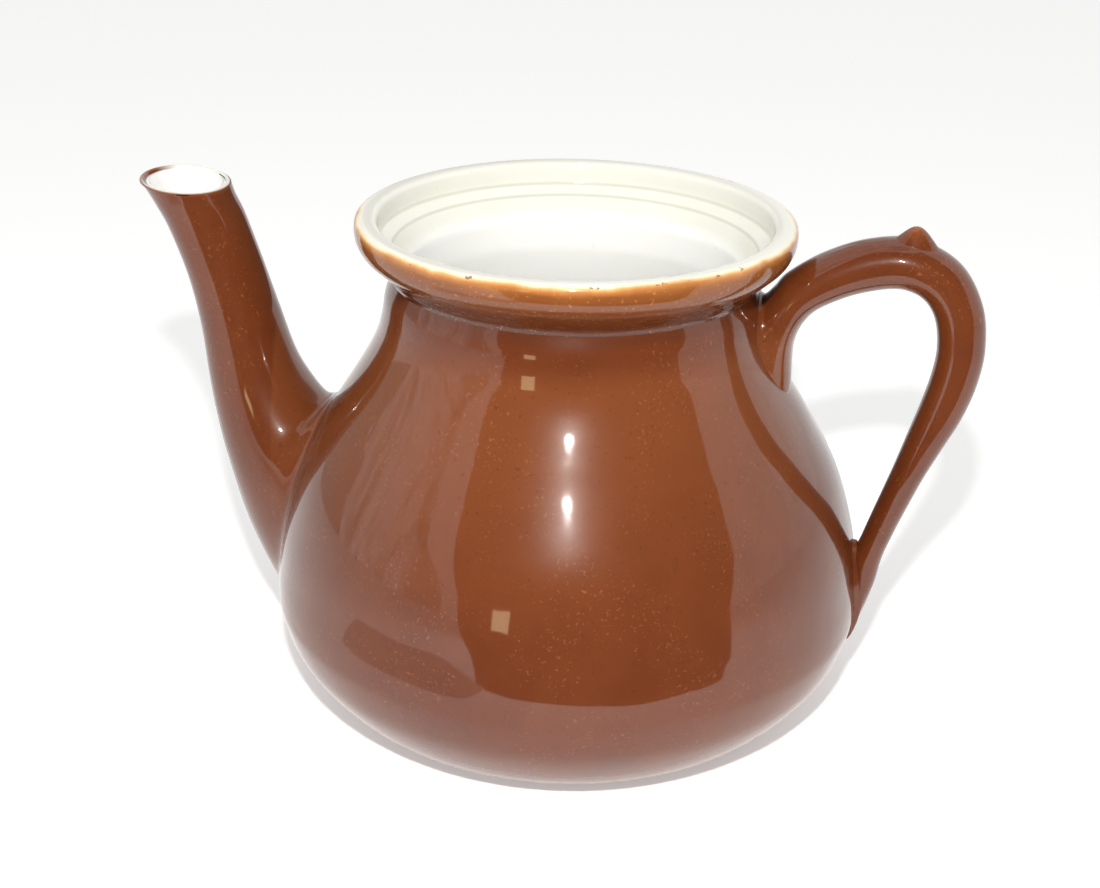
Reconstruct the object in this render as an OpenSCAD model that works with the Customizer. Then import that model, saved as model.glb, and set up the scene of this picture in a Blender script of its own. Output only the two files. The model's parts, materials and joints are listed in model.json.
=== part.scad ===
// Round-bellied earthenware teapot, open at the mouth. Millimetres, +Z up,
// origin on the table at the pot's axis; spout towards -X, handle towards +X.

/* [Body] */
// Largest radius of the belly
belly_r = 78; // [76:0.5:80]
// Thickness of the clay wall
wall_t = 4.8; // [4.2:0.1:5.2]
// Thickness of the white glaze lining
lining_t = 0.7; // [0.5:0.1:0.9]
// Width of the unglazed foot ring
foot_w = 5; // [4:0.5:8]

/* [Mouth] */
// Radius of the recess that a lid or an infuser flange drops into
seat_r = 50.25; // [49.5:0.05:51]
// Depth of that recess below the rim
seat_d = 6; // [5:0.25:6.5]
// Radius of the straight throat
throat_r = 43; // [42:0.1:43.2]

/* [Spout] */
// Clay thickness at the root of the spout
spout_t = 3.2; // [2.6:0.1:3.6]
// Diameter of one strainer hole
hole_d = 4.4; // [3:0.2:5]
// Spacing of the strainer holes
hole_pitch = 6.4; // [5.8:0.1:6.6]

/* [Handle] */
// Width of the handle strap as a factor of its normal width
strap_w = 1; // [0.85:0.05:1.15]
// Height of the thumb spur above the strap
spur_h = 3.4; // [2:0.2:4.6]

/* [Hidden] */
$fn = 96;
rim_z = 134.5;
neck_z = 119;
foot_r = 50.5;
foot_z = 1.8;
floor_z = 1.4 + wall_t;
ring_n = 36;
patch_r = 16;
patch_z = 54;
patch_tilt = 16;

// ---- curves ----
function cr4(a, b, c, d, t) =
  0.5 * (2 * b + (c - a) * t + (2 * a - 5 * b + 4 * c - d) * t * t + (3 * b - a - 3 * c + d) * t * t * t);
function pick(L, i) =
  i < 0 ? 2 * L[0] - L[1] : i > len(L) - 1 ? 2 * L[len(L) - 1] - L[len(L) - 2] : L[i];
function cr(L, s) =
  let (i = max(0, min(floor(s), len(L) - 2)))
  cr4(pick(L, i - 1), pick(L, i), pick(L, i + 1), pick(L, i + 2), s - i);

// outer profile of the thrown body, [radius, height] from the foot to the neck
db = belly_r - 78;
BODY = [[50.5, 1.2], [54.5, 1.7], [59.5, 4], [65 + 0.3 * db, 8], [70.5 + 0.6 * db, 14], [75 + 0.9 * db, 21],
  [77.6 + db, 29], [78 + db, 34], [77.4 + db, 41], [75.5 + 0.9 * db, 53], [71 + 0.6 * db, 67],
  [63.4 + 0.3 * db, 81], [57.2 + 0.1 * db, 91], [53.1, 98.2], [50.6, 104], [49.4, 109], [48.5, 114.5], [47, 119]];
neck_s = 14;
function bis(z, lo, hi, k) =
  let (m = (lo + hi) / 2) k == 0 ? m : cr(BODY, m)[1] < z ? bis(z, m, hi, k - 1) : bis(z, lo, m, k - 1);
function body_r(z) = z >= neck_z ? 47 : cr(BODY, bis(z, 0, len(BODY) - 1, 22))[0];
function body_n(s) =
  let (t = cr(BODY, s + 0.02) - cr(BODY, s - 0.02), l = norm(t)) [t[1] / l, -t[0] / l];
function inset(s, d) = cr(BODY, s) - d * body_n(s);

module wall_profile() polygon(concat(
  [for (k = [0 : 3 * (len(BODY) - 1)]) cr(BODY, k / 3)],
  [[throat_r + lining_t, neck_z], [throat_r + lining_t, 112]],
  [for (k = [3 * neck_s : -1 : 3]) inset(k / 3, wall_t)],
  [[foot_r, floor_z]]));

module lining_profile() polygon(concat(
  [[0, floor_z], [foot_r, floor_z]],
  [for (k = [3 : 3 * neck_s]) inset(k / 3, wall_t)],
  [[throat_r + lining_t, 112], [throat_r + lining_t, neck_z], [throat_r, neck_z], [throat_r, 112]],
  [for (k = [3 * neck_s : -1 : 3]) inset(k / 3, wall_t + lining_t)],
  [[foot_r, floor_z + lining_t], [0, floor_z + lining_t]]));

// ---- collar and seat ----
COLLAR = [[47, 119], [47.6, 120.5], [49.5, 122.5], [52, 124.5], [54.6, 127], [55.9, 129.5], [56.2, 132],
  [55.9, 133.6], [55.1, 134.3], [53.9, 134.5]];
SPLIT = [[53.9, 134.5], [53.4, 130.5], [51.5, 126.8], [47.2, 123], [45, 119]];

module collar_profile() polygon(concat(
  [for (k = [0 : 3 * (len(COLLAR) - 1)]) cr(COLLAR, k / 3)],
  [for (i = [1 : len(SPLIT) - 1]) SPLIT[i]]));

module seat_profile() polygon(concat(
  [[throat_r, neck_z], [45, neck_z]],
  [for (i = [len(SPLIT) - 2 : -1 : 0]) SPLIT[i]],
  [[seat_r + 0.8, rim_z], [seat_r, rim_z - 0.8], [seat_r, rim_z - seat_d], [46.7, rim_z - seat_d - 2],
    [throat_r + 1.2, 122.5], [throat_r, 120.5]]));

// ---- strainer ----
module along_patch() translate([-70, 0, patch_z]) rotate([0, patch_tilt - 90, 0]) children();
module strainer_holes() along_patch()
  for (i = [-2 : 2], j = [-2 : 2]) if (abs(i + j) <= 2)
    translate([(i + j / 2) * hole_pitch, j * hole_pitch * sin(60), 0])
      cylinder(d = hole_d, h = 30, center = true);
module patch_plug() along_patch() cylinder(r = patch_r, h = 34, center = true);

// ---- swept shapes: rings of ring_n points, the first angle on the outer side ----
function st(u, z, ang, a, b) = [for (i = [0 : ring_n - 1])
  let (c = cos(i * 360 / ring_n), s = sin(i * 360 / ring_n))
  [u + cos(ang) * a * c, b * s, z + sin(ang) * a * c]];
// a ring that lies on the body, or stands off it; h1 towards the first angle and h2 away from it
function on_body(z, h1, h2, b, off) = [for (i = [0 : ring_n - 1])
  let (c = cos(i * 360 / ring_n), y = b * sin(i * 360 / ring_n),
       zz = z + (c > 0 ? h1 : h2) * c, r = body_r(zz) + off)
  [sqrt(r * r - y * y), y, zz]];
function blend(R, s) = [for (i = [0 : ring_n - 1])
  let (k = max(0, min(floor(s), len(R) - 2)), t = s - k,
       p0 = k > 0 ? R[k - 1][i] : 2 * R[0][i] - R[1][i],
       p3 = k + 2 < len(R) ? R[k + 2][i] : 2 * R[len(R) - 1][i] - R[len(R) - 2][i])
  cr4(p0, R[k][i], R[k + 1][i], p3, t)];
function rings(R, s0, s1, n) = [for (k = [0 : n]) blend(R, s0 + (s1 - s0) * k / n)];
function rev(L) = [for (k = [len(L) - 1 : -1 : 0]) L[k]];
function flat(L) = [for (r = L) each r];
function flipx(P) = [for (p = P) [-p[0], p[1], p[2]]];

module tube(L, wrap) {
  n = len(L);
  quads = [for (k = [0 : (wrap ? n - 1 : n - 2)], i = [0 : ring_n - 1])
    let (j = (i + 1) % ring_n, k2 = (k + 1) % n)
    each [[k * ring_n + i, k * ring_n + j, k2 * ring_n + j], [k * ring_n + i, k2 * ring_n + j, k2 * ring_n + i]]];
  ends = wrap ? [] : [[for (i = [ring_n - 1 : -1 : 0]) i], [for (i = [0 : ring_n - 1]) (n - 1) * ring_n + i]];
  polyhedron(flat(L), concat(quads, ends), convexity = 8);
}

// spout, in the plane of its own centreline: stations from the wall to the lip
function spout_rings(d, e) = [
  on_body(50.5, -31 + d + e, -31 + d + e, 25.5 - d - e, 0.02),
  on_body(50.5, -28.3 + 0.8 * d + e, -28.3 + 0.8 * d + e, 23 - 0.8 * d - e, 1.3),
  st(76.7, 59.9, -59, 22 - 0.9 * d - e, 20.3 - 0.9 * d - e),
  st(81, 69, -34, 16 - 0.75 * d - e, 17.3 - 0.75 * d - e),
  st(84.4, 77.5, -21, 13.8 - 0.7 * d - e, 15 - 0.7 * d - e),
  st(87.5, 87, -14, 12 - 0.65 * d - e, 13.3 - 0.65 * d - e),
  st(90.4, 100, -12, 10.6 - 0.6 * d - e, 12 - 0.6 * d - e),
  st(94.1, 113.5, -15, 9.8 - 0.5 * d - e, 11.4 - 0.5 * d - e),
  st(98.4, 125.5, -11, 9.9 - 0.4 * d - e, 11.2 - 0.4 * d - e),
  st(101.4, 131.5, -4, 10.3 - 0.3 * d - e, 11.8 - 0.3 * d - e),
  st(104, 136.6, 5, 11.6 - 0.25 * d - e, 13 - 0.25 * d - e)];
spout_d = spout_t + 1.8;
SP_OUT = spout_rings(0, 0);
SP_IN = spout_rings(spout_d, 0);
SP_LIN = spout_rings(spout_d, lining_t);
module shell(A, B, s0, s1, n) mirror([1, 0, 0]) tube(concat(rev(rings(A, s0, s1, n)), rings(B, s0, s1, n)), true);

// handle strap: [outward, height, half thickness, half width]
STRAP = [[57.4, 118.6, 6, 8.6], [65.5, 124, 6.2, 7.8], [75, 127.6, 6.5, 7.2], [84, 128.4, 6.5, 7.2],
  [92.2, 124.6, 6.3, 7.1], [97, 117, 6.1, 6.9], [98.5, 107.8, 6, 6.8], [97.6, 99.2, 5.9, 6.6],
  [95.2, 90.5, 5.6, 6.3], [92, 82, 4.9, 6], [88.7, 73.2, 4.2, 5.7], [85.8, 65, 3.9, 5.4], [83.2, 57.5, 3.7, 5]];
function strap_ring(i) =
  let (p = STRAP[i], t = pick(STRAP, i + 1) - pick(STRAP, i - 1), l = norm([t[0], t[1]]))
  st(p[0], p[1], atan2(t[0] / l, -t[1] / l), p[2], p[3] * strap_w);
HAND = concat(
  [on_body(106.5, 11.5, 14.5, 9.8 * strap_w, 0.02), on_body(107, 10.6, 13.2, 9.3 * strap_w, 1.4),
    st(54, 112.8, 114, 7.6, 9.1 * strap_w)],
  [for (i = [0 : len(STRAP) - 1]) strap_ring(i)],
  [st(80.9, 50.3, -38, 3.9, 4.7 * strap_w), st(79.3, 44, -60, 5.8, 4.6 * strap_w),
    on_body(38, -14, -13.5, 4.5 * strap_w, 1.3), on_body(37, -15, -15, 4.7 * strap_w, 0.02)]);
h_last = len(HAND) - 1;
UPPER_CAP = [on_body(106.5, 3.8, 4.8, 3.3 * strap_w, 0.02), on_body(106.5, 7.7, 9.7, 6.6 * strap_w, 0.02)];
LOWER_CAP = [on_body(37, -10, -10, 3.1 * strap_w, 0.02), on_body(37, -5, -5, 1.6 * strap_w, 0.02)];

// a point on the strap's surface, station s and angle a
function strap_pt(s, a) =
  let (R = [for (k = [-1 : 2]) let (q = max(0, min(h_last, floor(s) + k)), f = a / 360 * ring_n + ring_n,
         i0 = floor(f), w = f - i0) HAND[q][i0 % ring_n] * (1 - w) + HAND[q][(i0 + 1) % ring_n] * w])
  cr4(R[0], R[1], R[2], R[3], s - floor(s));
spur_n = 24;
spur_k = 6;
function spur_grid(lift) = [for (k = [0 : spur_k], i = [0 : spur_n - 1])
  let (q = k / spur_k, f = i * 360 / spur_n)
  strap_pt(6.02 + 0.46 * q * cos(f), 34 * q * sin(f)) + [0.03, 0, 1] * lift * pow((1 + cos(180 * q)) / 2, 0.65)];

module spur() {
  m = (spur_k + 1) * spur_n;
  top = spur_grid(spur_h);
  low = spur_grid(0);
  fall = [for (i = [0 : len(low) - 1]) i < spur_k * spur_n ? low[i] + [0.01, 0, 0.03] : low[i]];
  side = [for (k = [0 : spur_k - 1], i = [0 : spur_n - 1])
    let (j = (i + 1) % spur_n, a = k * spur_n + i, b = k * spur_n + j, c = (k + 1) * spur_n + j, d = (k + 1) * spur_n + i)
    each (k == 0 ? [[a, c, d], [m + a, m + d, m + c]]
      : k == spur_k - 1 ? [[a, b, c], [a, c, d], [m + a, c, m + b], [m + a, d, c]]
      : [[a, b, c], [a, c, d], [m + a, m + c, m + b], [m + a, m + d, m + c]])];
  polyhedron(concat(top, fall), side, convexity = 6);
}

// ---- parts ----
module foot_ring() color([0.72, 0.55, 0.42])
  rotate_extrude() polygon([[foot_r - foot_w + 0.6, 0], [foot_r - 0.6, 0], [foot_r, 0.6], [foot_r, foot_z],
    [foot_r - foot_w, foot_z], [foot_r - foot_w, 0.6]]);
module floor_disc() color([0.74, 0.57, 0.44])
  translate([0, 0, foot_z]) cylinder(r = foot_r, h = floor_z - foot_z);
module body_wall() color([0.45, 0.22, 0.12])
  difference() { rotate_extrude() wall_profile(); patch_plug(); }
module strainer_panel() color([0.8, 0.62, 0.5])
  difference() { intersection() { rotate_extrude() wall_profile(); patch_plug(); } strainer_holes(); }
module body_lining() color([0.95, 0.95, 0.92])
  difference() { rotate_extrude() lining_profile(); strainer_holes(); }
module collar() color([0.6, 0.32, 0.16]) rotate_extrude() collar_profile();
module mouth_seat() color([0.95, 0.95, 0.92]) rotate_extrude() seat_profile();
module spout_joint() color([0.43, 0.21, 0.12]) shell(SP_OUT, SP_IN, 0, 2, 6);
module spout() color([0.45, 0.22, 0.12]) shell(SP_OUT, SP_IN, 2, 10, 24);
module spout_lining() color([0.95, 0.95, 0.92]) shell(SP_IN, SP_LIN, 0, 10, 28);
module handle_upper_joint() color([0.43, 0.21, 0.12])
  tube(concat(UPPER_CAP, rings(HAND, 0, 2, 6)), false);
module handle_strap() color([0.45, 0.22, 0.12]) tube(rings(HAND, 2, h_last - 4, 44), false);
module handle_lower_joint() color([0.43, 0.21, 0.12])
  tube(concat(rings(HAND, h_last - 4, h_last, 12), LOWER_CAP), false);
module thumb_spur() color([0.5, 0.26, 0.14]) spur();

foot_ring();
floor_disc();
body_wall();
strainer_panel();
body_lining();
collar();
mouth_seat();
spout_joint();
spout();
spout_lining();
handle_upper_joint();
handle_strap();
handle_lower_joint();
thumb_spur();
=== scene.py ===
import json, math
import bpy, bmesh
import numpy as np
from mathutils import Matrix, Vector

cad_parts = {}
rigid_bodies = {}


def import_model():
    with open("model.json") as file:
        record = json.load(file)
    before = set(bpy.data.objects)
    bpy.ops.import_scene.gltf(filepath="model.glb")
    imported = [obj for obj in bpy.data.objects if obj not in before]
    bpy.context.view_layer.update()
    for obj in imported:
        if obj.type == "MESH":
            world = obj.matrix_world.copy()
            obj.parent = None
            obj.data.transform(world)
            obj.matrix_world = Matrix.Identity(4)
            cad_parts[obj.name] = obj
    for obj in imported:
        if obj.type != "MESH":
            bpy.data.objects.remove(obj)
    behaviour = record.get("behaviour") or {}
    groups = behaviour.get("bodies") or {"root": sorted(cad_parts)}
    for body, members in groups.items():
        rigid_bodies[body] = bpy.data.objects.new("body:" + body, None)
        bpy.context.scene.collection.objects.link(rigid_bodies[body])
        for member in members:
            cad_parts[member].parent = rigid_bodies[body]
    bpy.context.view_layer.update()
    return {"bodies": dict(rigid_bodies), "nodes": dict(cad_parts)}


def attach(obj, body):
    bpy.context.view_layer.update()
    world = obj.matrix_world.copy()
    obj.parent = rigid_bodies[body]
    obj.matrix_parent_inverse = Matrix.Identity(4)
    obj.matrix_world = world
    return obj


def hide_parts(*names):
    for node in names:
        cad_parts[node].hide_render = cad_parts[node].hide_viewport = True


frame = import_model()
BODY_NAME = sorted(frame["bodies"])[0]
scene = bpy.context.scene
MM = 0.001

# ------------------------------------------------------------------ camera
AL = math.radians(10.0)
cam_d = bpy.data.cameras.new("camera")
cam_d.sensor_fit = "HORIZONTAL"
cam_d.sensor_width = 36.0
cam_d.lens = 65.4545
cam_d.clip_start = 0.01
cam_d.clip_end = 50.0
cam = bpy.data.objects.new("camera", cam_d)
scene.collection.objects.link(cam)
rot = Matrix.Rotation(AL, 3, "Z")
fwd = (rot @ Vector((-0.01030197, 0.91856057, -0.39514599))).normalized()
rgt = fwd.cross(Vector((0, 0, 1))).normalized()
upv = rgt.cross(fwd)
ro = math.radians(1.15)
rx = math.cos(ro) * rgt + math.sin(ro) * upv
ux = -math.sin(ro) * rgt + math.cos(ro) * upv
loc = rot @ Vector((0.0, -0.487824, 0.281218))
cam.matrix_world = Matrix((
    (rx.x, ux.x, -fwd.x, loc.x), (rx.y, ux.y, -fwd.y, loc.y), (rx.z, ux.z, -fwd.z, loc.z), (0, 0, 0, 1)))
scene.camera = cam

# ------------------------------------------------------------------ curves, as in the CAD source
def cr4(a, b, c, d, t):
    return 0.5 * (2 * b + (c - a) * t + (2 * a - 5 * b + 4 * c - d) * t * t + (3 * b - a - 3 * c + d) * t ** 3)

def pick(L, i):
    if i < 0:
        return 2 * L[0] - L[1]
    if i > len(L) - 1:
        return 2 * L[-1] - L[-2]
    return L[i]

def cr(L, s):
    i = max(0, min(int(math.floor(s)), len(L) - 2))
    return cr4(pick(L, i - 1), pick(L, i), pick(L, i + 1), pick(L, i + 2), s - i)

BODY = [np.array(p, float) for p in [
    (50.5, 1.2), (54.5, 1.7), (59.5, 4), (65, 8), (70.5, 14), (75, 21), (77.6, 29), (78, 34), (77.4, 41),
    (75.5, 53), (71, 67), (63.4, 81), (57.2, 91), (53.1, 98.2), (50.6, 104), (49.4, 109), (48.5, 114.5), (47, 119)]]
COLLAR = [np.array(p, float) for p in [
    (47, 119), (47.6, 120.5), (49.5, 122.5), (52, 124.5), (54.6, 127), (55.9, 129.5), (56.2, 132),
    (55.9, 133.6), (55.1, 134.3), (53.9, 134.5)]]
SPLIT = [(53.9, 134.5), (53.4, 130.5), (51.5, 126.8), (47.2, 123), (45, 119)]
WALL, LIN, THROAT, SEAT_R, SEAT_D, RIM = 4.8, 0.7, 43.0, 50.25, 5.0, 134.5
NECK = 119.0
FLOOR = 1.4 + WALL
FOOT = 50.5

_zs = np.linspace(0, len(BODY) - 1, 1601)
_prof = np.array([cr(BODY, s) for s in _zs])
def body_r(z):
    return float(np.interp(z, _prof[:, 1], _prof[:, 0]))
def body_n(s):
    t = cr(BODY, s + 0.02) - cr(BODY, s - 0.02)
    t = t / np.linalg.norm(t)
    return np.array([t[1], -t[0]])
def inset(s, d):
    return cr(BODY, s) - d * body_n(s)

# ------------------------------------------------------------------ mesh helpers
def add_object(name, verts, faces, smooth=True, angle=None):
    me = bpy.data.meshes.new(name)
    me.from_pydata([tuple(v) for v in verts], [], faces)
    me.validate(clean_customdata=False)
    if smooth:
        me.polygons.foreach_set("use_smooth", [True] * len(me.polygons))
    ob = bpy.data.objects.new(name, me)
    scene.collection.objects.link(ob)
    if angle is not None:
        me.set_sharp_from_angle(angle=math.radians(angle))
    return ob

def recalc(ob):
    bm = bmesh.new()
    bm.from_mesh(ob.data)
    bmesh.ops.remove_doubles(bm, verts=bm.verts, dist=1e-7)
    bmesh.ops.recalc_face_normals(bm, faces=bm.faces)
    bm.to_mesh(ob.data)
    bm.free()

def lathe(name, prof, seg=288, angle=35):
    """closed (r, z) loop in mm turned about Z"""
    prof = [tuple(p) for p in prof]
    n = len(prof)
    a = np.arange(seg) * 2 * math.pi / seg
    verts = []
    for r, z in prof:
        verts += [(r * MM * c, r * MM * s, z * MM) for c, s in zip(np.cos(a), np.sin(a))]
    faces = []
    for k in range(n):
        k2 = (k + 1) % n
        if prof[k][0] < 1e-6 and prof[k2][0] < 1e-6:
            continue
        for i in range(seg):
            j = (i + 1) % seg
            if prof[k][0] < 1e-6:
                faces.append((k * seg, k2 * seg + j, k2 * seg + i))
            elif prof[k2][0] < 1e-6:
                faces.append((k * seg + i, k * seg + j, k2 * seg))
            else:
                faces.append((k * seg + i, k * seg + j, k2 * seg + j, k2 * seg + i))
    # drop the unused copies of a pole
    me_v = np.array(verts)
    used = sorted({v for f in faces for v in f})
    remap = {v: i for i, v in enumerate(used)}
    ob = add_object(name, me_v[used], [tuple(remap[v] for v in f) for f in faces])
    recalc(ob)
    ob.data.polygons.foreach_set("use_smooth", [True] * len(ob.data.polygons))
    ob.data.set_sharp_from_angle(angle=math.radians(angle))
    return ob

def boolean(ob, cutter, op="DIFFERENCE"):
    m = ob.modifiers.new("cut", "BOOLEAN")
    m.operation = op
    m.object = cutter
    m.solver = "EXACT"
    dg = bpy.context.evaluated_depsgraph_get()
    me = bpy.data.meshes.new_from_object(ob.evaluated_get(dg))
    ob.modifiers.clear()
    old = ob.data
    ob.data = me
    bpy.data.meshes.remove(old)
    return ob

def tube_mesh(name, grid, normals, wrap, flip=False):
    """grid: (n, m, 3) in mm; rings closed round m; wrap closes the rings onto each other"""
    n, m, _ = grid.shape
    verts = (grid.reshape(-1, 3) * MM)
    if normals is not None:
        # wind the faces so that they agree with the normals given
        k = n // 3
        q = np.cross(np.roll(grid[k], -1, 0) - grid[k], grid[k + 1] - grid[k])
        flip = float((q * normals[k]).sum()) < 0
    faces, kinds = [], []
    for k in range(n if wrap else n - 1):
        k2 = (k + 1) % n
        for i in range(m):
            j = (i + 1) % m
            f = (k * m + i, k * m + j, k2 * m + j, k2 * m + i)
            faces.append(f[::-1] if flip else f)
    caps = 0
    if not wrap:
        a = tuple(range(m))
        b = tuple(range((n - 1) * m, n * m))
        faces.append(a if flip else a[::-1])
        faces.append(b[::-1] if flip else b)
        caps = 2
    ob = add_object(name, verts, faces)
    me = ob.data
    if normals is not None:
        N = normals.reshape(-1, 3)
        loops = np.zeros((len(me.loops), 3))
        vi = np.zeros(len(me.loops), int)
        me.loops.foreach_get("vertex_index", vi)
        loops[:] = N[vi]
        np_poly = len(me.polygons)
        if caps:
            for p in list(me.polygons)[np_poly - caps:]:
                for li in p.loop_indices:
                    loops[li] = p.normal
        me.normals_split_custom_set([tuple(v) for v in loops])
    return ob

def grid_normals(full, flip=False):
    """unit normals of a (n, m, 3) grid closed round m, by central differences"""
    du = np.gradient(full, axis=0)
    dv = np.roll(full, -1, axis=1) - np.roll(full, 1, axis=1)
    N = np.cross(dv, du)
    N /= np.maximum(np.linalg.norm(N, axis=2, keepdims=True), 1e-12)
    return -N if flip else N

def set_attr(ob, name, values):
    at = ob.data.attributes.new(name, "FLOAT", "POINT")
    at.data.foreach_set("value", np.asarray(values, dtype=np.float32))

# ------------------------------------------------------------------ turned pieces
def fine(L, per, s0=0, s1=None):
    s1 = len(L) - 1 if s1 is None else s1
    k = max(2, int(round((s1 - s0) * per)))
    return [tuple(cr(L, s0 + (s1 - s0) * i / k)) for i in range(k + 1)]

foot = lathe("pot_foot_ring", [(46.3, 0.06), (45.8, 0.28), (45.5, 0.8), (45.5, 1.8), (50.5, 1.8), (50.5, 0.9),
                               (50.32, 0.42), (49.9, 0.12), (49.2, 0.0), (47.0, 0.0)], angle=50)

wall_out = fine(BODY, 10)
wall_in = [tuple(inset(k / 4, WALL)) for k in range(56, 3, -1)]
wall = lathe("pot_body_wall", wall_out + [(46.2, 119.4), (THROAT + LIN, 119.0), (THROAT + LIN, 112.0)] + wall_in
             + [(FOOT, FLOOR)], angle=40)

lin_out = [(0.0, FLOOR), (FOOT - 6, FLOOR), (FOOT, FLOOR)] + [tuple(inset(k / 4, WALL)) for k in range(4, 57)] \
    + [(THROAT + LIN, 112.0), (THROAT + LIN, NECK)]
lin_in = [(THROAT, NECK)] + [(THROAT, z) for z in (117, 115, 113.4)]
lin_in += [(THROAT + 0.06, 112.2), (THROAT + 0.3, 110.8)]
lin_in += [tuple(inset(k / 6, WALL + LIN)) for k in range(82, 5, -1)]
lin_in += [(49.5, FLOOR + LIN - 0.02), (46, FLOOR + LIN - 0.05), (40, FLOOR + LIN - 0.05), (30, FLOOR + LIN - 0.05),
           (18, FLOOR + LIN - 0.05), (8, FLOOR + LIN - 0.05), (0.0, FLOOR + LIN - 0.05)]
lining = lathe("pot_body_lining", lin_out + lin_in, angle=40)

rim_round = [(53.9, 134.5), (53.2, 134.5), (52.4, 134.47), (51.7, 134.38), (51.1, 134.2), (50.65, 133.9), (50.36, 133.5),
             (50.26, 133.0), (50.25, 131.0), (50.25, 129.8), (50.22, 129.2), (50.1, 128.8), (49.85, 128.5),
             (49.5, 128.25), (48.9, 127.9), (48.1, 127.4), (47.4, 126.98), (46.95, 126.7), (46.6, 126.3),
             (46.25, 125.8), (45.7, 124.9), (44.9, 123.5), (44.2, 122.5), (43.6, 121.6), (43.2, 120.9), (43.02, 120.2),
             (43.0, 119.0)]
collar_out = fine(COLLAR, 8)
collar_ob = lathe("pot_collar", [(46.6, 118.7)] + collar_out + [(53.2, 134.44), (53.0, 133.0)]
                  + [SPLIT[1], SPLIT[2], SPLIT[3], SPLIT[4]], angle=40)
seat = lathe("pot_mouth_seat", [(45.0, NECK)] + [SPLIT[3], SPLIT[2], SPLIT[1]] + rim_round, angle=60)

# strainer cuts
def along_patch():
    t = math.radians(16 - 90)
    return Matrix.Translation((-0.070, 0, 0.054)) @ Matrix.Rotation(t, 4, "Y")

def cyl_cutter(name, centres, r, h, seg):
    verts, faces = [], []
    for cx, cy in centres:
        b = len(verts)
        for z in (-h / 2, h / 2):
            for i in range(seg):
                a = 2 * math.pi * i / seg
                verts.append(((cx + r * math.cos(a)) * MM, (cy + r * math.sin(a)) * MM, z * MM))
        for i in range(seg):
            j = (i + 1) % seg
            faces.append((b + i, b + j, b + seg + j, b + seg + i))
        faces.append(tuple(b + i for i in range(seg - 1, -1, -1)))
        faces.append(tuple(b + seg + i for i in range(seg)))
    ob = add_object(name, verts, faces, smooth=False)
    M = along_patch()
    ob.data.transform(M)
    return ob

holes = [((i + j / 2) * 6.4, j * 6.4 * math.sin(math.radians(60))) for i in range(-2, 3) for j in range(-2, 3)
         if abs(i + j) <= 2]
plug = cyl_cutter("tmp_plug", [(0, 0)], 16.0, 34.0, 72)
pins = cyl_cutter("tmp_pins", holes, 2.2, 30.0, 28)
boolean(wall, plug)
boolean(lining, pins)
for ob in (wall, lining):
    ob.data.polygons.foreach_set("use_smooth", [True] * len(ob.data.polygons))
    ob.data.set_sharp_from_angle(angle=math.radians(40))
for ob in (plug, pins):
    bpy.data.objects.remove(ob)

# ------------------------------------------------------------------ swept pieces
M_ = 96
TH = np.arange(M_) * 2 * math.pi / M_
CT, ST = np.cos(TH), np.sin(TH)

def st(u, z, ang, a, b):
    a_ = math.radians(ang)
    return np.stack([u + math.cos(a_) * a * CT, b * ST, z + math.sin(a_) * a * CT], 1)

def on_body(z, h1, h2, b, off):
    y = b * ST
    zz = z + np.where(CT > 0, h1, h2) * CT
    r = np.array([body_r(v) for v in zz]) + off
    return np.stack([np.sqrt(r * r - y * y), y, zz], 1)

def blend(R, s):
    k = max(0, min(int(math.floor(s)), len(R) - 2))
    p0 = R[k - 1] if k > 0 else 2 * R[0] - R[1]
    p3 = R[k + 2] if k + 2 < len(R) else 2 * R[-1] - R[-2]
    return cr4(p0, R[k], R[k + 1], p3, s - k)

def hermite(p0, t0, p1, t1, t):
    h00, h10, h01, h11 = 2 * t**3 - 3 * t**2 + 1, t**3 - 2 * t**2 + t, -2 * t**3 + 3 * t**2, t**3 - t**2
    return h00 * p0 + h10 * t0 + h01 * p1 + h11 * t1

def spout_rings(d, e):
    return [
        on_body(50.5, -31 + d + e, -31 + d + e, 25.5 - d - e, 0.0),
        on_body(50.5, -28.3 + 0.8 * d + e, -28.3 + 0.8 * d + e, 23 - 0.8 * d - e, 1.3),
        st(76.7, 59.9, -59, 22 - 0.9 * d - e, 20.3 - 0.9 * d - e),
        st(81, 69, -34, 16 - 0.75 * d - e, 17.3 - 0.75 * d - e),
        st(84.4, 77.5, -21, 13.8 - 0.7 * d - e, 15 - 0.7 * d - e),
        st(87.5, 87, -14, 12 - 0.65 * d - e, 13.3 - 0.65 * d - e),
        st(90.4, 100, -12, 10.6 - 0.6 * d - e, 12 - 0.6 * d - e),
        st(94.1, 113.5, -15, 9.8 - 0.5 * d - e, 11.4 - 0.5 * d - e),
        st(98.4, 125.5, -11, 9.9 - 0.4 * d - e, 11.2 - 0.4 * d - e),
        st(101.4, 131.5, -4, 10.3 - 0.3 * d - e, 11.8 - 0.3 * d - e),
        st(104, 136.6, 5, 11.6 - 0.25 * d - e, 13 - 0.25 * d - e)]

SP_D = 5.0
SP_OUT, SP_IN, SP_LIN = spout_rings(0, 0), spout_rings(SP_D, 0), spout_rings(SP_D, LIN)
FX = np.array([-1.0, 1.0, 1.0])

def spout_outer(s):
    if s >= 2:
        return blend(SP_OUT, s)
    # a slip fillet that leaves the belly along its own surface
    inner = on_body(50.5, -31 * 0.97, -31 * 0.97, 25.5 * 0.97, 0.0)
    t0 = inner - SP_OUT[0]
    t0 = t0 / np.linalg.norm(t0, axis=1, keepdims=True) * 9.0
    t1 = (SP_OUT[3] - SP_OUT[1]) * 1.0
    return hermite(SP_OUT[0], t0, SP_OUT[2], t1, s / 2)

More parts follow.
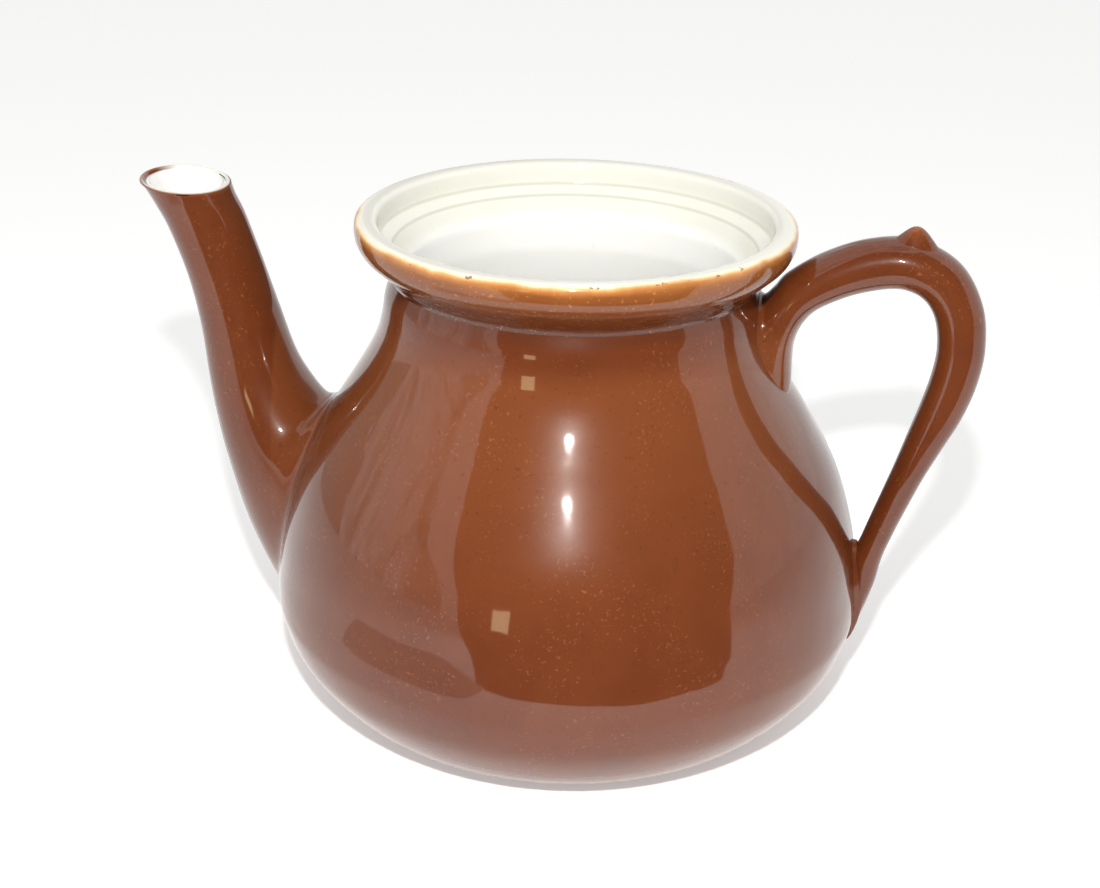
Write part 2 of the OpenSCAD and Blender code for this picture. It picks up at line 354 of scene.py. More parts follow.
def spout_piece(name, s0, s1, n):
    ss = np.linspace(s0, s1, n + 1)
    ds = 0.01
    out = np.array([spout_outer(s) for s in ss])
    def nrm(f, s):
        lo, hi = max(0.0, s - ds), min(10.0, s + ds)
        du = f(hi) - f(lo)
        mid = f(s)
        dv = np.roll(mid, -1, 0) - np.roll(mid, 1, 0)
        N = np.cross(dv, du)
        return N / np.maximum(np.linalg.norm(N, axis=1, keepdims=True), 1e-12)
    No = np.array([nrm(spout_outer, s) for s in ss])
    inn = np.array([blend(SP_IN, s) for s in ss])
    Ni = -np.array([nrm(lambda q: blend(SP_IN, q), s) for s in ss])
    rings, norms = [out], [No]
    if s1 >= 10:
        # rounded lip between the outer skin and the lining
        c = (out[-1] + inn[-1]) / 2
        h = (out[-1] - inn[-1]) / 2
        rad = np.linalg.norm(h, axis=1, keepdims=True)
        up = np.array([0.0, 0, 1.0])
        lip, ln = [], []
        for k in range(1, 8):
            a = math.pi * k / 8
            lip.append(c + h * math.cos(a) + up * rad * math.sin(a))
            ln.append(h / rad * math.cos(a) + up * math.sin(a))
        # keep the lip's crown at the CAD height
        drop = up * rad
        out2 = out.copy()
        out2[-1] = out2[-1] - drop * 1.0
        inn = inn.copy(); inn[-1] = inn[-1] - drop
        rings = [out2, np.array(lip) - drop]
        norms = [No, np.array(ln)]
    rings.append(inn[::-1])
    norms.append(Ni[::-1])
    G = np.concatenate(rings) * FX
    N = np.concatenate(norms) * FX
    # FX mirrors, so outward normals stay outward once the sign is checked
    mid = G[1, 0] - G[1].mean(0)
    if np.dot(mid, N[1, 0]) < 0:
        N = -N
    ob = tube_mesh(name, G, N, True, flip=False)
    over = np.zeros(G.shape[:2])
    if s1 >= 10:
        side = np.clip((0.93 - CT) / 0.35, 0, 1)
        for k in range(7):
            over[n + 1 + k] = side * min(1.0, max(0.0, (k - 0.6) / 1.6))
        over[n + 8:n + 16] = side
    set_attr(ob, "over", over.reshape(-1))
    return ob

def liner_piece(name, n):
    ss = np.linspace(0, 10, n + 1)
    a = np.array([blend(SP_IN, s) for s in ss])
    b = np.array([blend(SP_LIN, s) for s in ss])
    drop = np.array([0.04, 0, 1.0]) * 0.75
    a[-1] -= drop
    b[-1] -= drop
    G = np.concatenate([a, b[::-1]]) * FX
    ob = tube_mesh(name, G, None, True, flip=False)
    recalc(ob)
    ob.data.polygons.foreach_set("use_smooth", [True] * len(ob.data.polygons))
    ob.data.set_sharp_from_angle(angle=math.radians(50))
    return ob

joint = spout_piece("spout_slip_joint", 0, 2, 30)
spout = spout_piece("spout_tube", 2, 10, 96)
spout_lin = liner_piece("spout_white_lining", 96)

STRAP = [np.array(p, float) for p in [
    (57.4, 118.6, 6, 8.6), (65.5, 124, 6.2, 7.8), (75, 127.6, 6.5, 7.2), (84, 128.4, 6.5, 7.2), (92.2, 124.6, 6.3, 7.1),
    (97, 117, 6.1, 6.9), (98.5, 107.8, 6, 6.8), (97.6, 99.2, 5.9, 6.6), (95.2, 90.5, 5.6, 6.3), (92, 82, 4.9, 6),
    (88.7, 73.2, 4.2, 5.7), (85.8, 65, 3.9, 5.4), (83.2, 57.5, 3.7, 5)]]

def strap_ring(i):
    p, t = STRAP[i], pick(STRAP, i + 1) - pick(STRAP, i - 1)
    return st(p[0], p[1], math.degrees(math.atan2(t[0], -t[1])), p[2], p[3])

HAND = [on_body(106.5, 11.5, 14.5, 9.8, 0.0), on_body(107, 10.6, 13.2, 9.3, 1.4), st(54, 112.8, 114, 7.6, 9.1)] \
    + [strap_ring(i) for i in range(len(STRAP))] \
    + [st(80.9, 50.3, -38, 3.9, 4.7), st(79.3, 44, -60, 5.8, 4.6), on_body(38, -14, -13.5, 4.5, 1.3),
       on_body(37, -15, -15, 4.7, 0.0)]
HL = len(HAND) - 1

def hand(s):
    return blend(HAND, s)

def handle_piece(name, s0, s1, n, pre=(), post=()):
    ss = np.linspace(s0, s1, n + 1)
    G = np.array([hand(s) for s in ss])
    N = []
    for s in ss:
        lo, hi = max(0.0, s - 0.01), min(float(HL), s + 0.01)
        du = hand(hi) - hand(lo)
        mid = hand(s)
        dv = np.roll(mid, -1, 0) - np.roll(mid, 1, 0)
        q = np.cross(dv, du)
        N.append(q / np.maximum(np.linalg.norm(q, axis=1, keepdims=True), 1e-12))
    N = np.array(N)
    k = len(ss) // 2
    if np.dot(G[k, 0] - G[k].mean(0), N[k, 0]) < 0:
        N = -N
    if len(pre):
        G = np.concatenate([np.array(pre), G]); N = np.concatenate([np.tile(N[:1], (len(pre), 1, 1)), N])
    if len(post):
        G = np.concatenate([G, np.array(post)]); N = np.concatenate([N, np.tile(N[-1:], (len(post), 1, 1))])
    return tube_mesh(name, G, N, False, flip=False)

up_cap = [on_body(106.5, 3.8, 4.8, 3.3, 0.0), on_body(106.5, 7.7, 9.7, 6.6, 0.0)]
lo_cap = [on_body(37, -10, -10, 3.1, 0.0), on_body(37, -5, -5, 1.6, 0.0)]
h_up = handle_piece("handle_upper_pad", 0, 2, 24, pre=up_cap)
h_st = handle_piece("handle_strap_body", 2, HL - 4, 150)
h_lo = handle_piece("handle_lower_tail", HL - 4, HL, 48, post=lo_cap)

# thumb spur: a smooth rise on the strap
def strap_pt(s, a):
    f = (a / (2 * math.pi) * M_) % M_
    i0 = int(math.floor(f)); w = f - i0
    R = hand(s)
    return R[i0 % M_] * (1 - w) + R[(i0 + 1) % M_] * w

def spur_mesh(name, lift=3.36, K=22, NN=64):
    verts, faces = [], []
    for side in (1, 0):
        for k in range(K + 1):
            q = k / K
            for i in range(NN):
                f = 2 * math.pi * i / NN
                P = strap_pt(6.02 + 0.46 * q * math.cos(f), math.radians(34) * q * math.sin(f))
                if side:
                    P = P + np.array([0.03, 0, 1.0]) * lift * ((1 + math.cos(math.pi * q)) / 2) ** 0.65
                else:
                    P = P - np.array([0.0, 0, 0.25]) * (1 if k < K else 0.2)
                verts.append(P * MM)
    m = (K + 1) * NN
    for k in range(K):
        for i in range(NN):
            j = (i + 1) % NN
            a, b, c, d = k * NN + i, k * NN + j, (k + 1) * NN + j, (k + 1) * NN + i
            faces.append((a, b, c, d) if k else (a, c, d))
            faces.append((m + a, m + d, m + c, m + b) if k else (m + a, m + d, m + c))
    for i in range(NN):
        j = (i + 1) % NN
        a, b = K * NN + i, K * NN + j
        faces.append((a, b, m + b, m + a))
    ob = add_object(name, verts, faces)
    bm = bmesh.new(); bm.from_mesh(ob.data)
    bmesh.ops.remove_doubles(bm, verts=bm.verts, dist=1e-6)
    loose = [v for v in bm.verts if not v.link_faces]
    bmesh.ops.delete(bm, geom=loose, context="VERTS")
    bmesh.ops.recalc_face_normals(bm, faces=bm.faces)
    bm.to_mesh(ob.data); bm.free()
    ob.data.polygons.foreach_set("use_smooth", [True] * len(ob.data.polygons))
    ob.data.set_sharp_from_angle(angle=math.radians(60))
    return ob

spur = spur_mesh("handle_thumb_spur")

# ------------------------------------------------------------------ materials
def nt_new(name):
    m = bpy.data.materials.new(name)
    m.use_nodes = True
    nt = m.node_tree
    nt.nodes.clear()
    out = nt.nodes.new("ShaderNodeOutputMaterial")
    b = nt.nodes.new("ShaderNodeBsdfPrincipled")
    nt.links.new(b.outputs[0], out.inputs[0])
    return m, nt, b

def N(nt, kind, **kw):
    n = nt.nodes.new(kind)
    for k, v in kw.items():
        if k.startswith("i_"):
            n.inputs[k[2:].replace("_", " ")].default_value = v
        else:
            setattr(n, k, v)
    return n

def noise(nt, co, scale, detail=3, rough=0.5, dist=0.0):
    n = N(nt, "ShaderNodeTexNoise")
    n.inputs["Scale"].default_value = scale
    n.inputs["Detail"].default_value = detail
    n.inputs["Roughness"].default_value = rough
    n.inputs["Distortion"].default_value = dist
    nt.links.new(co, n.inputs["Vector"])
    return n.outputs["Fac"]

def ramp(nt, fac, stops, interp="LINEAR"):
    r = N(nt, "ShaderNodeValToRGB")
    r.color_ramp.interpolation = interp
    while len(r.color_ramp.elements) > 1:
        r.color_ramp.elements.remove(r.color_ramp.elements[-1])
    r.color_ramp.elements[0].position = stops[0][0]
    r.color_ramp.elements[0].color = (*stops[0][1], 1)
    for p, c in stops[1:]:
        e = r.color_ramp.elements.new(p)
        e.color = (*c, 1)
    nt.links.new(fac, r.inputs["Fac"])
    return r.outputs["Color"]

def mix(nt, fac, a, b, blend="MIX"):
    m = N(nt, "ShaderNodeMix", data_type="RGBA", blend_type=blend)
    for sock, v in ((m.inputs[0], fac), (m.inputs[6], a), (m.inputs[7], b)):
        if hasattr(v, "is_linked"):
            nt.links.new(v, sock)
        elif isinstance(v, (int, float)):
            sock.default_value = v
        else:
            sock.default_value = (*v, 1)
    return m.outputs[2]

def math_(nt, op, a, b=None, c=None, clamp=False):
    m = N(nt, "ShaderNodeMath", operation=op, use_clamp=clamp)
    for k, v in enumerate((a, b, c)):
        if v is None:
            continue
        if hasattr(v, "is_linked"):
            nt.links.new(v, m.inputs[k])
        else:
            m.inputs[k].default_value = v
    return m.outputs[0]

def maprange(nt, v, a, b, c=0.0, d=1.0, smooth=True):
    m = N(nt, "ShaderNodeMapRange", interpolation_type="SMOOTHSTEP" if smooth else "LINEAR", clamp=True)
    nt.links.new(v, m.inputs["Value"])
    m.inputs["From Min"].default_value = a
    m.inputs["From Max"].default_value = b
    m.inputs["To Min"].default_value = c
    m.inputs["To Max"].default_value = d
    return m.outputs["Result"]

def coords(nt):
    tc = N(nt, "ShaderNodeTexCoord")
    co = tc.outputs["Object"]
    sx = N(nt, "ShaderNodeSeparateXYZ")
    nt.links.new(co, sx.inputs[0])
    x, y, z = sx.outputs
    r = math_(nt, "SQRT", math_(nt, "ADD", math_(nt, "MULTIPLY", x, x), math_(nt, "MULTIPLY", y, y)))
    return co, x, y, z, r

def bump(nt, height, dist, strength=1.0, normal=None):
    b = N(nt, "ShaderNodeBump")
    b.inputs["Distance"].default_value = dist
    b.inputs["Strength"].default_value = strength
    nt.links.new(height, b.inputs["Height"])
    if normal is not None:
        nt.links.new(normal, b.inputs["Normal"])
    return b.outputs["Normal"]

BROWN_LO, BROWN_HI = (0.096, 0.0200, 0.0048), (0.137, 0.0330, 0.0085)

def brown_color(nt, co, x, y, z, r):
    big = noise(nt, co, 22, 2, 0.5, 0.3)
    mid = noise(nt, co, 120, 4, 0.6)
    base = ramp(nt, math_(nt, "ADD", math_(nt, "MULTIPLY", big, 0.65), math_(nt, "MULTIPLY", mid, 0.35)),
                [(0.30, BROWN_LO), (0.70, BROWN_HI)])
    # painted light: the body's shoulder, from about 40 to 114 mm up, is painted a lighter brown, standing in for the
    # brighter light on the upper belly; parts more than about 80 mm from the axis (spout, handle) are left out
    sh = math_(nt, "MULTIPLY", maprange(nt, z, 0.040, 0.100), maprange(nt, z, 0.114, 0.105))
    painted_light_band = math_(nt, "MULTIPLY", sh, maprange(nt, r, 0.0800, 0.0790))
    base = mix(nt, math_(nt, "MULTIPLY", painted_light_band, 0.50), base, (0.205, 0.060, 0.018))
    # rutile flecks in the glaze
    fl = noise(nt, co, 1150, 2, 0.55)
    gate = noise(nt, co, 65, 2, 0.5)
    fac = math_(nt, "MULTIPLY", maprange(nt, fl, 0.60, 0.72), maprange(nt, gate, 0.40, 0.62))
    base = mix(nt, math_(nt, "MULTIPLY", fac, 0.22), base, (0.42, 0.18, 0.08))
    dk = noise(nt, co, 800, 2, 0.5, 0.2)
    base = mix(nt, math_(nt, "MULTIPLY", maprange(nt, dk, 0.64, 0.74), 0.5), base, (0.085, 0.020, 0.008))
    return base, mid, fl

def gloss_setup(b, coat=0.22):
    b.inputs["IOR"].default_value = 1.5
    b.inputs["Specular IOR Level"].default_value = 0.5
    b.inputs["Coat Weight"].default_value = coat
    b.inputs["Coat Roughness"].default_value = 0.30
    b.inputs["Coat IOR"].default_value = 1.45

def glaze_bump(nt, co, mid, amount=1.0):
    w1 = noise(nt, co, 26, 2, 0.45)
    w2 = noise(nt, co, 95, 2, 0.45)
    h = math_(nt, "ADD", math_(nt, "MULTIPLY", w1, 0.9), math_(nt, "MULTIPLY", w2, 0.12))
    return bump(nt, h, 0.00035 * amount)

def mat_brown():
    m, nt, b = nt_new("brown_glaze_look")
    co, x, y, z, r = coords(nt)
    base, mid, fl = brown_color(nt, co, x, y, z, r)
    at = N(nt, "ShaderNodeAttribute", attribute_name="thin", attribute_type="GEOMETRY")
    wob = math_(nt, "MULTIPLY", math_(nt, "SUBTRACT", noise(nt, co, 260, 3, 0.6), 0.5), 0.5)
    thin = math_(nt, "ADD", at.outputs["Fac"], math_(nt, "MULTIPLY", wob, at.outputs["Fac"]), clamp=True)
    amber = ramp(nt, thin, [(0.0, (0.20, 0.05, 0.016)), (0.45, (0.36, 0.115, 0.033)), (0.8, (0.52, 0.22, 0.07)),
                            (1.0, (0.62, 0.34, 0.13))])
    col = mix(nt, math_(nt, "MULTIPLY", thin, 1.0, clamp=True), base, amber)
    ov = N(nt, "ShaderNodeAttribute", attribute_name="over", attribute_type="GEOMETRY")
    col = mix(nt, ov.outputs["Fac"], col, (0.80, 0.795, 0.72))
    # the neck groove under the collar is painted darker
    g1 = math_(nt, "ABSOLUTE", math_(nt, "SUBTRACT", z, 0.1182))
    groove = math_(nt, "MULTIPLY", maprange(nt, g1, 0.0032, 0.0006), maprange(nt, r, 0.0505, 0.0485))
    col = mix(nt, math_(nt, "MULTIPLY", groove, 0.55), col, (0.085, 0.022, 0.009))
    nt.links.new(col, b.inputs["Base Color"])
    rr = maprange(nt, mid, 0.3, 0.7, 0.035, 0.06, False)
    nt.links.new(rr, b.inputs["Roughness"])
    gloss_setup(b)
    nrm = glaze_bump(nt, co, mid)
    nt.links.new(nrm, b.inputs["Normal"])
    nt.links.new(nrm, b.inputs["Coat Normal"])
    return m

WHITE = (0.78, 0.775, 0.72)

def mat_rim():
    m, nt, b = nt_new("rim_glaze_look")
    co, x, y, z, r = coords(nt)
    base, mid, fl = brown_color(nt, co, x, y, z, r)
    # how far down the outside of the collar, 0 at the lip and 1 at the neck
    w = math_(nt, "MULTIPLY", math_(nt, "SUBTRACT", noise(nt, co, 55, 3, 0.6), 0.5), 0.0030)
    zz = math_(nt, "ADD", z, w)
    tone = ramp(nt, maprange(nt, zz, 0.1190, 0.1340, 0, 1, False), [
        (0.0, (0.055, 0.013, 0.005)), (0.16, (0.088, 0.022, 0.007)), (0.45, (0.125, 0.034, 0.009)),
        (0.66, (0.165, 0.047, 0.011)), (0.84, (0.23, 0.074, 0.016)), (0.97, (0.36, 0.14, 0.033))])
    col = mix(nt, 0.82, base, tone)
    col = mix(nt, math_(nt, "MULTIPLY", maprange(nt, fl, 0.60, 0.72), 0.25), col, (0.60, 0.32, 0.13))
    # white shows through over the lip, with a ragged yellow edge
    e1 = math_(nt, "MULTIPLY", math_(nt, "SUBTRACT", noise(nt, co, 36, 3, 0.62), 0.5), 0.0048)
    e2 = math_(nt, "MULTIPLY", math_(nt, "SUBTRACT", noise(nt, co, 210, 3, 0.65), 0.5), 0.0011)
    rr_ = math_(nt, "ADD", math_(nt, "ADD", r, e1), e2)
    # distance run over the lip: radius plus how far below the top
    d = math_(nt, "ADD", rr_, math_(nt, "MULTIPLY", math_(nt, "SUBTRACT", 0.1345, z), 1.1))
    edge = ramp(nt, maprange(nt, d, 0.0536, 0.0578, 0, 1, False), [
        (0.0, WHITE), (0.34, (0.84, 0.80, 0.66)), (0.52, (0.80, 0.66, 0.38)), (0.68, (0.62, 0.34, 0.12)),
        (0.86, (0.48, 0.20, 0.06)), (1.0, (0.45, 0.17, 0.05))])
    k = maprange(nt, d, 0.0590, 0.0566)
    col = mix(nt, k, col, edge)
    chips = maprange(nt, noise(nt, co, 330, 2, 0.6), 0.665, 0.71)
    band = math_(nt, "MULTIPLY", maprange(nt, d, 0.0540, 0.0549), maprange(nt, d, 0.0572, 0.0562))
    col = mix(nt, math_(nt, "MULTIPLY", chips, math_(nt, "MULTIPLY", band, 0.8)), col, (0.12, 0.045, 0.02))
    nt.links.new(col, b.inputs["Base Color"])
    nt.links.new(maprange(nt, mid, 0.3, 0.7, 0.035, 0.06, False), b.inputs["Roughness"])
    gloss_setup(b)
    nrm = glaze_bump(nt, co, mid)
    nt.links.new(nrm, b.inputs["Normal"])
    nt.links.new(nrm, b.inputs["Coat Normal"])
    return m

def mat_white():
    m, nt, b = nt_new("white_glaze_look")
    co, x, y, z, r = coords(nt)
    big = noise(nt, co, 30, 3, 0.55)
    mid = noise(nt, co, 140, 3, 0.55)
    col = ramp(nt, big, [(0.3, (0.905, 0.905, 0.875)), (0.7, (0.93, 0.93, 0.91))])
    # painted shade: dark olive lines on the ledge's two corners, in the crease at the foot of the drop wall and along
    # the rounded edge down into the shaded throat
    for zc, rc, wd in ((0.1285, 0.0501, 0.0009), (0.1264, 0.0466, 0.0009)):
        a = math_(nt, "ABSOLUTE", math_(nt, "SUBTRACT", r, rc))
        bb = math_(nt, "ABSOLUTE", math_(nt, "SUBTRACT", z, zc))
        dd = math_(nt, "ADD", a, math_(nt, "MULTIPLY", bb, 0.8))
        col = mix(nt, math_(nt, "MULTIPLY", maprange(nt, dd, wd, 0.0001), 0.92), col, (0.27, 0.25, 0.16))
    led = math_(nt, "MULTIPLY", maprange(nt, z, 0.1195, 0.1240), maprange(nt, r, 0.0560, 0.0545))
    col = mix(nt, math_(nt, "MULTIPLY", led, 0.75), col, (0.74, 0.735, 0.64))
    sp = noise(nt, co, 520, 2, 0.5)
    col = mix(nt, math_(nt, "MULTIPLY", maprange(nt, sp, 0.74, 0.79), 0.3), col, (0.42, 0.33, 0.22))
    nt.links.new(col, b.inputs["Base Color"])
    nt.links.new(maprange(nt, mid, 0.3, 0.7, 0.05, 0.09, False), b.inputs["Roughness"])
    gloss_setup(b)
    nrm = glaze_bump(nt, co, mid, 0.8)
    nt.links.new(nrm, b.inputs["Normal"])
    nt.links.new(nrm, b.inputs["Coat Normal"])
    return m

def mat_clay():
    m, nt, b = nt_new("bare_clay_look")
    co, x, y, z, r = coords(nt)
    f = noise(nt, co, 180, 5, 0.65)
    g = noise(nt, co, 900, 3, 0.6)
    col = ramp(nt, f, [(0.3, (0.40, 0.235, 0.135)), (0.55, (0.52, 0.33, 0.20)), (0.75, (0.60, 0.41, 0.26))])
    col = mix(nt, math_(nt, "MULTIPLY", maprange(nt, g, 0.62, 0.72), 0.6), col, (0.20, 0.11, 0.07))
    # tea-brown wear on the foot's standing edge
    wear = math_(nt, "MULTIPLY", maprange(nt, z, 0.0006, 0.0001), maprange(nt, noise(nt, co, 60, 3, 0.6), 0.42, 0.6))
    col = mix(nt, math_(nt, "MULTIPLY", wear, 0.6), col, (0.24, 0.14, 0.09))
    nt.links.new(col, b.inputs["Base Color"])
    nt.links.new(maprange(nt, f, 0.3, 0.7, 0.78, 0.92, False), b.inputs["Roughness"])
    h = math_(nt, "ADD", math_(nt, "MULTIPLY", f, 0.5), math_(nt, "MULTIPLY", g, 0.5))
    nt.links.new(bump(nt, h, 0.00025), b.inputs["Normal"])
    return m

M_BROWN, M_RIM, M_WHITE, M_CLAY = mat_brown(), mat_rim(), mat_white(), mat_clay()

def co_of(ob):
    a = np.zeros(len(ob.data.vertices) * 3)
    ob.data.vertices.foreach_get("co", a)
    return a.reshape(-1, 3) * 1000

# glaze runs thin on the lip of the spout and on the spur; the strap and the other brown pieces are given none
c = co_of(spout)
lip_z = 136.6 + (-(c[:, 0]) - 104.0) * 0.087
set_attr(spout, "thin", np.clip((c[:, 2] - (lip_z - 1.3)) / 1.3, 0, 1) * 0.45)
c = co_of(spur)
apex = c[np.argmax(c[:, 2])]
dd = np.linalg.norm(c - apex, axis=1)
set_attr(spur, "thin", np.clip(1 - dd / 6.0, 0, 1) ** 1.3 * 0.62)
c = co_of(h_st)
set_attr(h_st, "thin", np.zeros(len(c)))
for ob in (joint, h_up, h_lo, wall):
    set_attr(ob, "thin", np.zeros(len(ob.data.vertices)))

def assign(ob, mat):
    ob.data.materials.clear()
    ob.data.materials.append(mat)

pieces = [
    (foot, M_CLAY, "foot_ring", "bare_clay"), (wall, M_BROWN, "body_wall", "brown_glaze"),
    (lining, M_WHITE, "body_lining", "white_glaze"), (collar_ob, M_RIM, "collar", "rim_glaze"),
    (seat, M_WHITE, "mouth_seat", "white_glaze"), (joint, M_BROWN, "spout_joint", "brown_glaze"),
    (spout, M_BROWN, "spout", "brown_glaze"), (spout_lin, M_WHITE, "spout_lining", "white_glaze"),
    (h_up, M_BROWN, "handle_upper_joint", "brown_glaze"), (h_st, M_BROWN, "handle_strap", "brown_glaze"),
    (h_lo, M_BROWN, "handle_lower_joint", "brown_glaze"), (spur, M_BROWN, "thumb_spur", "brown_glaze")]
for ob, mat, node, slot in pieces:
    assign(ob, mat)
    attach(ob, BODY_NAME)
    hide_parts(node)
assign(frame["nodes"]["floor_disc"], M_CLAY)
assign(frame["nodes"]["strainer_panel"], M_BROWN)

# ------------------------------------------------------------------ stage
def stage_mat(name, col=None, emit=None, rough=0.9, lift=0.0):
    m = bpy.data.materials.new(name)
    m.use_nodes = True
    nt = m.node_tree
    nt.nodes.clear()
    out = nt.nodes.new("ShaderNodeOutputMaterial")
    if emit is not None:
        e = nt.nodes.new("ShaderNodeEmission")
        e.inputs[0].default_value = (*emit[:3], 1)
        e.inputs[1].default_value = emit[3]
        nt.links.new(e.outputs[0], out.inputs[0])
    else:
        b = nt.nodes.new("ShaderNodeBsdfPrincipled")
        b.inputs["Base Color"].default_value = (*col, 1)
        b.inputs["Roughness"].default_value = rough
        b.inputs["Specular IOR Level"].default_value = 0.0
        b.inputs["Emission Color"].default_value = (*col, 1)
        b.inputs["Emission Strength"].default_value = lift
        nt.links.new(b.outputs[0], out.inputs[0])
    return m

fl = add_object("stage_floor", [(-9, -9, -0.0002), (9, -9, -0.0002), (9, 9, -0.0002), (-9, 9, -0.0002)], [(0, 1, 2, 3)], smooth=False)
assign(fl, stage_mat("stage_floor_pale", (0.95, 0.95, 0.945), lift=0.35))

def glossy_only(ob):
    ob.visible_camera = False
    ob.visible_diffuse = False
    ob.visible_transmission = False
    ob.visible_volume_scatter = False
    ob.visible_shadow = False

def direction(az, el, R):
    """az in degrees from -Y towards +X, el above the floor, seen from the pot"""
    a, e = math.radians(az), math.radians(el)
    return (R * math.cos(e) * math.sin(a), -R * math.cos(e) * math.cos(a), 0.07 + R * math.sin(e))

def card(name, rows, R, emit):
    """rows: (elevation, azimuth left, azimuth right)"""
    n = 24
    verts, faces = [], []
    for el, a0, a1 in rows:
        verts += [direction(a0 + (a1 - a0) * i / n, el, R) for i in range(n + 1)]
    for k in range(len(rows) - 1):
        for i in range(n):
            a = k * (n + 1) + i
            faces.append((a, a + 1, a + n + 2, a + n + 1))
    ob = add_object(name, verts, faces, smooth=False)
    assign(ob, stage_mat(name + "_m", emit=emit))
    glossy_only(ob)
    return ob

# the open, unlit side of the studio, which the belly mirrors as its deep brown panel
card("stage_dark_front", [(-1.3, -31, 73), (5, -31.5, 76), (13, -35, 79.5), (25, -39, 84), (34, -42, 86), (50, -44, 88),
                          (70, -48, 92)], 3.6, (0.020, 0.014, 0.010, 1.0))
# the dark ground in front of the pale cloth
front = [(-60, -200), (-30, -193), (23, -180), (61, -168), (91, -149), (127, -132), (159, -104), (190, -98)]
far = [(3.4 * math.sin(math.radians(a)) * 1000, -3.4 * math.cos(math.radians(a)) * 1000) for a in (73, 60, 45, 30, 15, 0, -15, -31)]
ring = [(x * MM, y * MM, 0.0006) for x, y in front + far]
dk = add_object("stage_dark_ground", ring, [tuple(range(len(ring)))[::-1]], smooth=False)
assign(dk, stage_mat("stage_dark_ground_m", emit=(0.020, 0.014, 0.010, 1.0)))
glossy_only(dk)
# a shaded fold lying on the cloth to the front left
fd = add_object("stage_dark_fold", [(x * MM, y * MM, 0.0009) for x, y in [
    (-210, -112), (-128, -200), (-50, -203), (-50, -150), (-100, -128), (-156, -76)]], [(5, 4, 3, 2, 1, 0)],
    smooth=False)
assign(fd, stage_mat("stage_dark_fold_m", emit=(0.80, 0.76, 0.72, 1.0)))
glossy_only(fd)
# a small window
card("stage_window_b", [(-1.6, -17.8, -10.8), (4.8, -17.8, -10.8)], 3.2, (1.0, 0.82, 0.48, 5.0))

def cloth_dome():
    rows, n = [-14, -6, 2, 10, 20, 32, 46, 62, 80], 72
    verts, faces = [], []
    for el in rows:
        verts += [direction(360 * i / n, el, 3.9) for i in range(n)]
    for k in range(len(rows) - 1):
        for i in range(n):
            j = (i + 1) % n
            faces.append((k * n + i, k * n + j, (k + 1) * n + j, (k + 1) * n + i))
    ob = add_object("stage_cloth", verts, faces, smooth=False)
    m = bpy.data.materials.new("stage_cloth_m")
    m.use_nodes = True
    nt = m.node_tree
    nt.nodes.clear()
    out = nt.nodes.new("ShaderNodeOutputMaterial")
    e = nt.nodes.new("ShaderNodeEmission")
    nt.links.new(e.outputs[0], out.inputs[0])
    tc = N(nt, "ShaderNodeTexCoord")
    mp = N(nt, "ShaderNodeMapping")
    mp.inputs["Scale"].default_value = (0.9, 0.9, 0.22)
    nt.links.new(tc.outputs["Object"], mp.inputs["Vector"])
    f1 = noise(nt, mp.outputs[0], 1.4, 3, 0.55, 0.6)
    f2 = noise(nt, mp.outputs[0], 5.0, 3, 0.6, 0.8)
    h = math_(nt, "ADD", math_(nt, "MULTIPLY", f1, 0.62), math_(nt, "MULTIPLY", f2, 0.38))
    sx = N(nt, "ShaderNodeSeparateXYZ")
    nt.links.new(tc.outputs["Object"], sx.inputs[0])
    k = maprange(nt, sx.outputs[0], 0.6, -1.6, 0.25, 1.0)
    h = math_(nt, "ADD", math_(nt, "MULTIPLY", math_(nt, "SUBTRACT", h, 0.565), k), 0.565)
    col = ramp(nt, h, [(0.36, (0.34, 0.31, 0.29)), (0.47, (0.78, 0.76, 0.74)), (0.56, (1.12, 1.11, 1.10)),
                       (0.70, (1.40, 1.40, 1.40))])
    nt.links.new(col, e.inputs[0])
    assign(ob, m)
    glossy_only(ob)

cloth_dome()


def sky_dome():
    rows, n = [-2, 4, 12, 24, 40, 60, 80, 89.5], 48
    verts, faces = [], []
    for el in rows:
        verts += [direction(360 * i / n, el, 8.6) for i in range(n)]
    for k in range(len(rows) - 1):
        for i in range(n):
            j = (i + 1) % n
            faces.append((k * n + i, k * n + j, (k + 1) * n + j, (k + 1) * n + i))
    ob = add_object("stage_sky", verts, faces, smooth=False)
    assign(ob, stage_mat("stage_sky_m", emit=(0.90, 0.90, 0.895, 1.0)))
    ob.visible_diffuse = False
    ob.visible_glossy = False
    ob.visible_transmission = False
    ob.visible_volume_scatter = False
    ob.visible_shadow = False

sky_dome()
# darker folds to the left
card("stage_fold_a", [(-22, -112, -84), (-12, -122, -88), (2, -124, -92), (12, -116, -98)], 3.5, (0.54, 0.49, 0.44, 1.0))
card("stage_fold_b", [(-17, -54, -38), (-6, -55, -37), (4, -53, -38), (13, -50, -43)], 3.5, (0.60, 0.55, 0.50, 1.0))
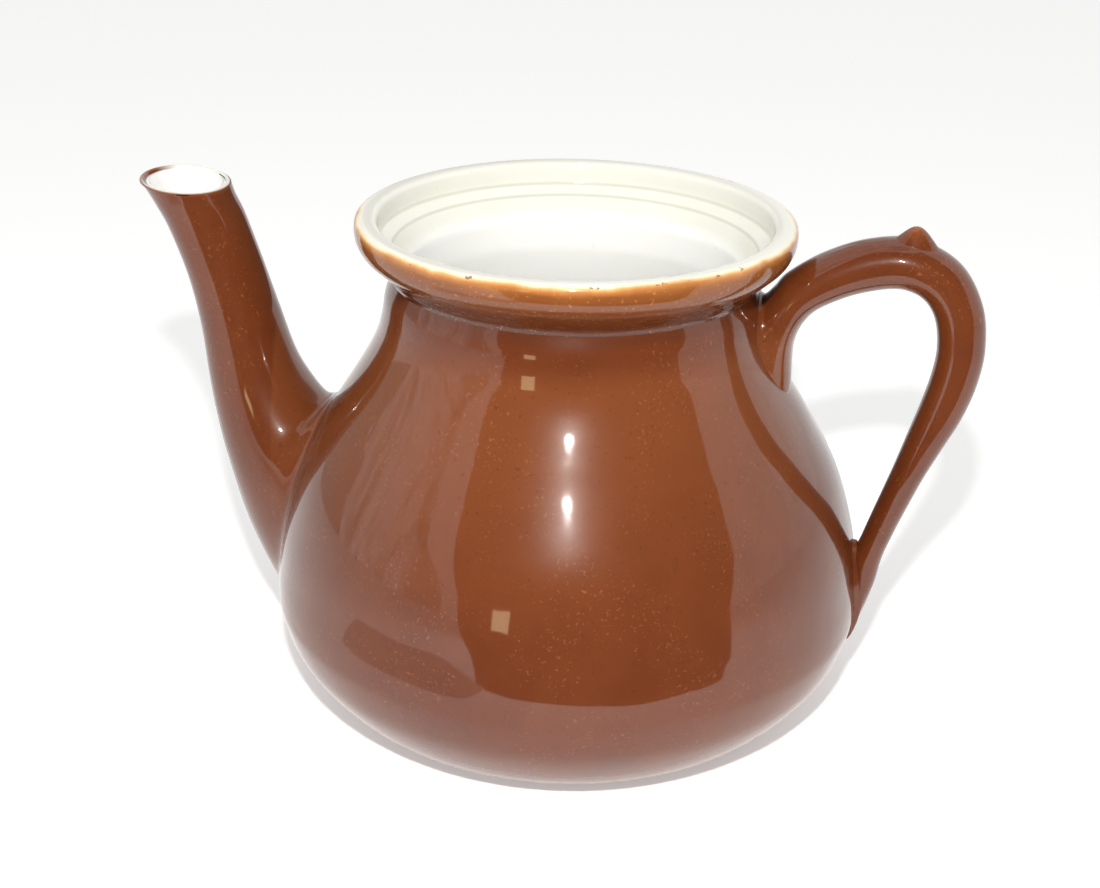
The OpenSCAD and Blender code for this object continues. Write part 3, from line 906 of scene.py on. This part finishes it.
# a dark strip standing between the spout and the mouth, mirrored only by the spout's inner side
sp = add_object("stage_dark_spout", [(-0.0615, -0.012, 0.104), (-0.0615, 0.085, 0.104), (-0.0615, 0.110, 0.215),
                                     (-0.0615, -0.004, 0.215)], [(0, 3, 2, 1)], smooth=False)
spm = bpy.data.materials.new("stage_dark_spout_m")
spm.use_nodes = True
nt = spm.node_tree
nt.nodes.clear()
out = nt.nodes.new("ShaderNodeOutputMaterial")
mx = nt.nodes.new("ShaderNodeMixShader")
em = nt.nodes.new("ShaderNodeEmission")
em.inputs[0].default_value = (0.15, 0.085, 0.055, 1.0)
tr = nt.nodes.new("ShaderNodeBsdfTransparent")
ge = nt.nodes.new("ShaderNodeNewGeometry")
nt.links.new(ge.outputs["Backfacing"], mx.inputs[0])
nt.links.new(em.outputs[0], mx.inputs[1])
nt.links.new(tr.outputs[0], mx.inputs[2])
nt.links.new(mx.outputs[0], out.inputs[0])
assign(sp, spm)
glossy_only(sp)
card("stage_pale_edge", [(-1.3, -36.5, -30), (5, -37, -30), (13, -43, -34), (20, -50, -36), (25, -53, -38), (34, -57, -41),
                         (50, -60, -43)], 3.65, (1.08, 1.06, 1.04, 1.0))


world = bpy.data.worlds.new("studio")
scene.world = world
world.use_nodes = True
bg = world.node_tree.nodes["Background"]
bg.inputs[0].default_value = (1.0, 1.0, 1.0, 1)
bg.inputs[1].default_value = 0.58
world.cycles.sampling_method = "NONE"

def area(name, loc, aim, size, size_y, power, col=(1, 1, 1)):
    l = bpy.data.lights.new(name, "AREA")
    l.shape = "RECTANGLE"
    l.size = size
    l.size_y = size_y
    l.energy = power
    l.color = col
    o = bpy.data.objects.new(name, l)
    scene.collection.objects.link(o)
    o.location = loc
    d = Vector(aim) - Vector(loc)
    o.rotation_euler = d.to_track_quat("-Z", "Y").to_euler()
    o.visible_camera = False
    return o

area("flash", (0.076, -0.478, 0.400), (0, 0, 0.08), 0.020, 0.015, 3.1, (1.0, 0.98, 0.95))

scene.view_settings.view_transform = "Standard"
scene.view_settings.look = "None"
scene.view_settings.exposure = 0.0
scene.view_settings.gamma = 1.0
